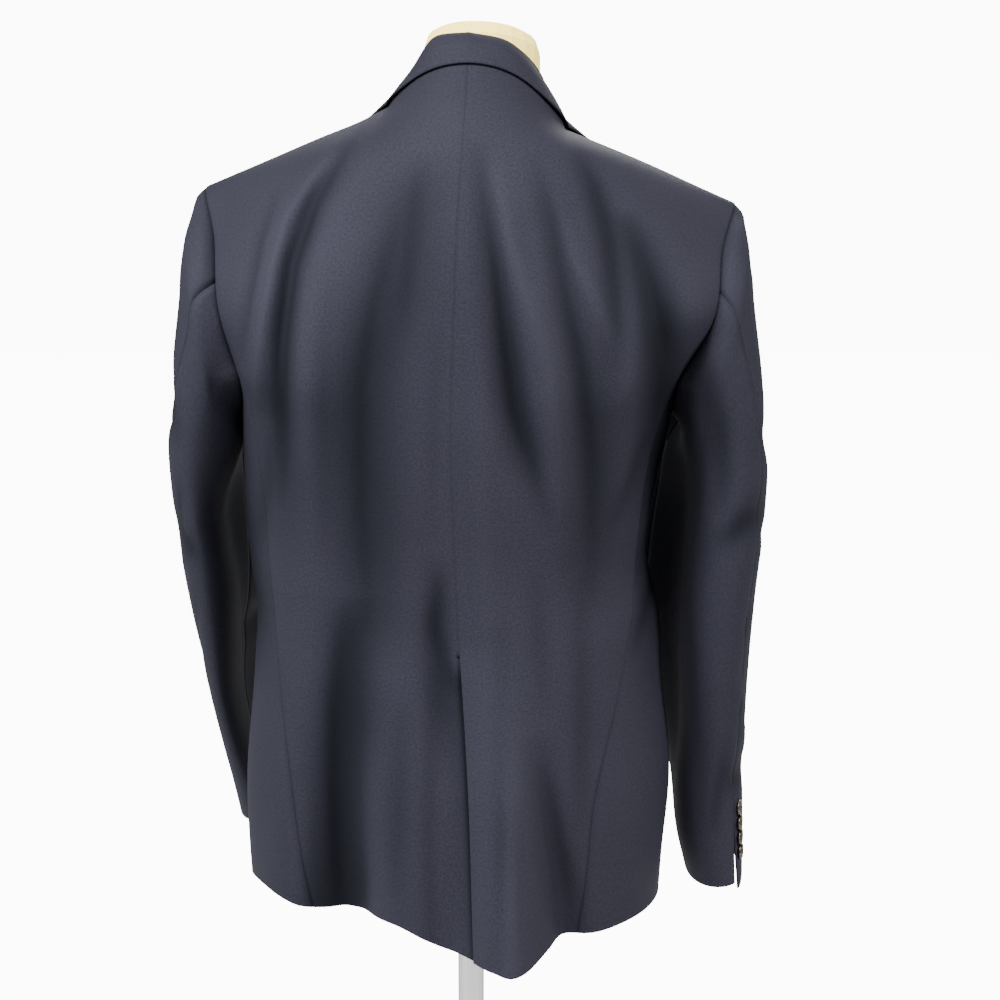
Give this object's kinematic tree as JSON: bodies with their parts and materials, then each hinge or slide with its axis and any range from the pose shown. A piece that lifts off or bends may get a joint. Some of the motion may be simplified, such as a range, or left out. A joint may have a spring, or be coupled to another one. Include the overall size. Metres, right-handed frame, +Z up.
{
  "type": "blazer on dress form",
  "caption": "Single-breasted wool blazer with notched lapels, flap pockets and a centre vent, hanging on a limbless linen dress form with a round-footed stand.",
  "frame": {"origin": "on the floor under the middle of the stand's round foot", "axes": "+Z up; +Y the way the wearer faces, so the jacket's back looks along -Y; +X the wearer's right, which is the picture's right"},
  "size_m": [0.5481, 0.398, 1.5112],
  "materials": {
    "back_left": "wool twill, matt",
    "back_right": "wool twill, matt",
    "side_left": "wool twill, matt",
    "side_right": "wool twill, matt",
    "front_left": "wool twill, matt",
    "front_right": "wool twill, matt",
    "top_sleeve_left": "wool twill, matt",
    "top_sleeve_right": "wool twill, matt",
    "under_sleeve_left": "wool twill, matt",
    "under_sleeve_right": "wool twill, matt",
    "collar": "wool twill, matt",
    "lapel_left": "wool twill, matt",
    "lapel_right": "wool twill, matt",
    "pocket_flap_left": "wool twill, matt",
    "pocket_flap_right": "wool twill, matt",
    "front_button_1": "horn look, smooth, half gloss",
    "front_button_2": "horn look, smooth, half gloss",
    "cuff_button_left_1": "horn look, smooth, half gloss",
    "cuff_button_left_2": "horn look, smooth, half gloss",
    "cuff_button_left_3": "horn look, smooth, half gloss",
    "cuff_button_left_4": "horn look, smooth, half gloss",
    "cuff_button_right_1": "horn look, smooth, half gloss",
    "cuff_button_right_2": "horn look, smooth, half gloss",
    "cuff_button_right_3": "horn look, smooth, half gloss",
    "cuff_button_right_4": "horn look, smooth, half gloss",
    "form_torso": "plain linen, matt",
    "form_neck_cap": "plain linen, matt",
    "form_pole": "satin",
    "form_base": "satin"
  },
  "bodies": {
    "root": {"back_left": "back_left", "back_right": "back_right", "side_left": "side_left", "side_right": "side_right", "front_left": "front_left", "front_right": "front_right", "top_sleeve_left": "top_sleeve_left", "top_sleeve_right": "top_sleeve_right", "under_sleeve_left": "under_sleeve_left", "under_sleeve_right": "under_sleeve_right", "collar": "collar", "lapel_left": "lapel_left", "lapel_right": "lapel_right", "pocket_flap_left": "pocket_flap_left", "pocket_flap_right": "pocket_flap_right", "front_button_1": "front_button_1", "front_button_2": "front_button_2", "cuff_button_left_1": "cuff_button_left_1", "cuff_button_left_2": "cuff_button_left_2", "cuff_button_left_3": "cuff_button_left_3", "cuff_button_left_4": "cuff_button_left_4", "cuff_button_right_1": "cuff_button_right_1", "cuff_button_right_2": "cuff_button_right_2", "cuff_button_right_3": "cuff_button_right_3", "cuff_button_right_4": "cuff_button_right_4", "form_torso": "form_torso", "form_neck_cap": "form_neck_cap", "form_pole": "form_pole", "form_base": "form_base"}
  },
  "joints": []
}
